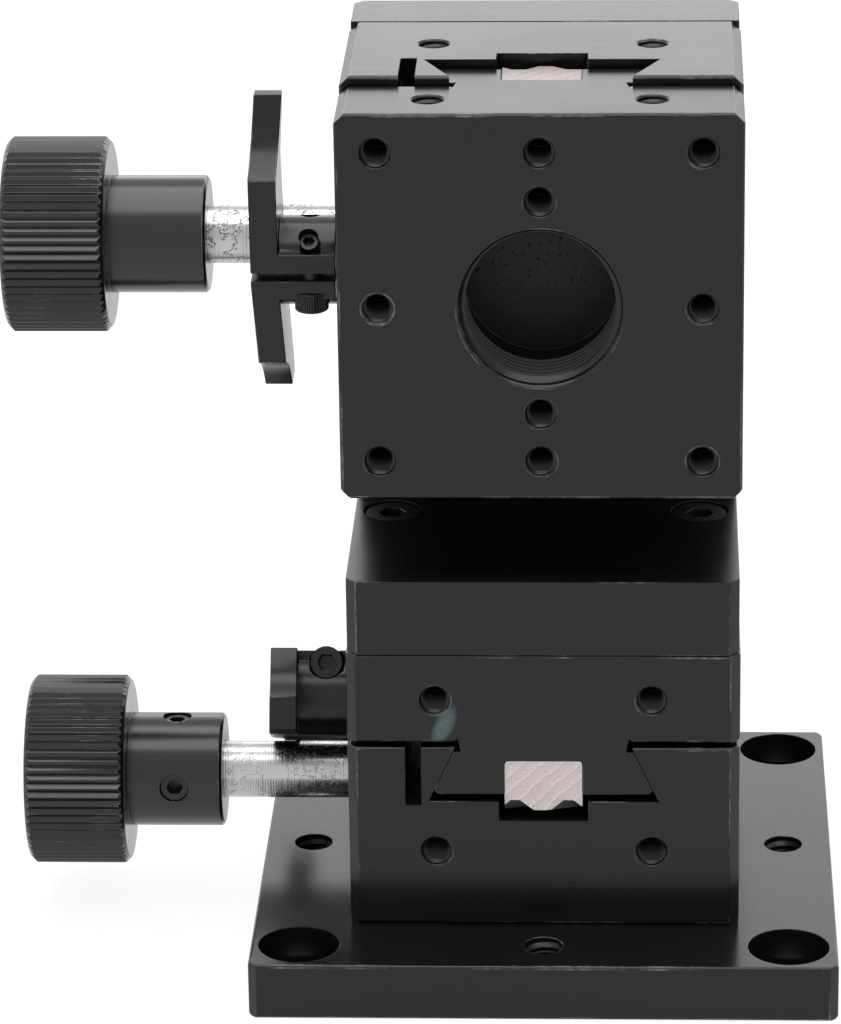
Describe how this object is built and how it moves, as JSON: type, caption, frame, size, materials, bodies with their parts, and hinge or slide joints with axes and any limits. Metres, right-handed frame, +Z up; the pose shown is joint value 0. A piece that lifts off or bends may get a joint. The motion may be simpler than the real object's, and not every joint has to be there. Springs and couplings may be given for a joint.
{
  "type": "two-axis rack and pinion dovetail stage",
  "caption": "Two-axis mechanical microscope stage: horizontal and vertical dovetail slides driven by knurled knobs through helical racks, with lock levers, on a square base plate.",
  "frame": {"origin": "centre of the base plate's underside", "axes": "+X across the stage, away from the knobs; +Y away from the user, the lower stage's travel; +Z up, the upper stage's travel"},
  "size_m": [0.0847, 0.06, 0.0942],
  "materials": {
    "black_anodised": "satin black anodised",
    "knurled_black": "black anodised, straight knurled",
    "polished_shaft": "ground and polished",
    "cut_rack_steel": "machined, sawn ends",
    "bright_steel": "turned",
    "black_screws": "black oxide",
    "bronze_bush": "turned bronze"
  },
  "bodies": {
    "base": {"base_plate": "black_anodised", "base_screws": "black_screws", "lower_body": "black_anodised", "lower_knob_bush": "bronze_bush", "lower_far_bush": "bronze_bush", "lower_bush_screws": "black_screws", "lower_stop_pin": "bright_steel"},
    "lower_carriage": {"lower_slider": "black_anodised", "lower_rack": "cut_rack_steel", "lower_rack_screws": "black_screws", "angle_bracket": "black_anodised", "foot_screws": "black_screws", "wall_screws": "black_screws", "upper_body": "black_anodised", "upper_knob_bush": "bronze_bush", "upper_far_bush": "bronze_bush", "upper_bush_screws": "black_screws", "upper_stop_pin": "bright_steel"},
    "upper_carriage": {"upper_slider": "black_anodised", "upper_rack": "cut_rack_steel", "upper_rack_screws": "black_screws"},
    "lower_drive": {"lower_pinion_shaft": "polished_shaft", "lower_pinion": "bright_steel", "lower_thrust_washers": "bright_steel", "lower_knob": "knurled_black", "lower_knob_screws": "black_screws"},
    "upper_drive": {"upper_pinion_shaft": "polished_shaft", "upper_pinion": "bright_steel", "upper_thrust_washers": "bright_steel", "upper_knob": "knurled_black", "upper_knob_screws": "black_screws"},
    "lower_lock": {"lower_lock_screw": "bright_steel", "lower_lever": "black_anodised", "lower_lever_clamp_screw": "black_screws", "lower_lever_set_screws": "black_screws"},
    "upper_lock": {"upper_lock_screw": "bright_steel", "upper_lever": "black_anodised", "upper_lever_clamp_screw": "black_screws", "upper_lever_set_screws": "black_screws"}
  },
  "joints": [
    {"name": "lower_slide", "type": "slide", "parent": "base", "child": "lower_carriage", "axis": [0, 1, 0], "range_m": [-0.01, 0.01]},
    {"name": "upper_slide", "type": "slide", "parent": "lower_carriage", "child": "upper_carriage", "axis": [0, 0, 1], "range_m": [-0.0092, 0.0108]},
    {"name": "lower_knob_turn", "type": "hinge", "parent": "base", "child": "lower_drive", "pos_m": [0, 0, 0.0145], "axis": [1, 0, 0], "range_deg": [-121, 121]},
    {"name": "upper_knob_turn", "type": "hinge", "parent": "lower_carriage", "child": "upper_drive", "pos_m": [0, 0.0002, 0.0742], "axis": [1, 0, 0], "range_deg": [-131, 112]},
    {"name": "lower_lock_turn", "type": "hinge", "parent": "base", "child": "lower_lock", "pos_m": [0, 0, 0.02275], "axis": [1, 0, 0], "range_deg": [0, 50]},
    {"name": "upper_lock_turn", "type": "hinge", "parent": "lower_carriage", "child": "upper_lock", "pos_m": [0, -0.00805, 0.0742], "axis": [1, 0, 0], "range_deg": [-29, 21]}
  ],
  "couplings": [
    {"joint": "lower_knob_turn", "follows": "lower_slide", "rad_per_m": -210.53},
    {"joint": "upper_knob_turn", "follows": "upper_slide", "rad_per_m": -210.53}
  ]
}
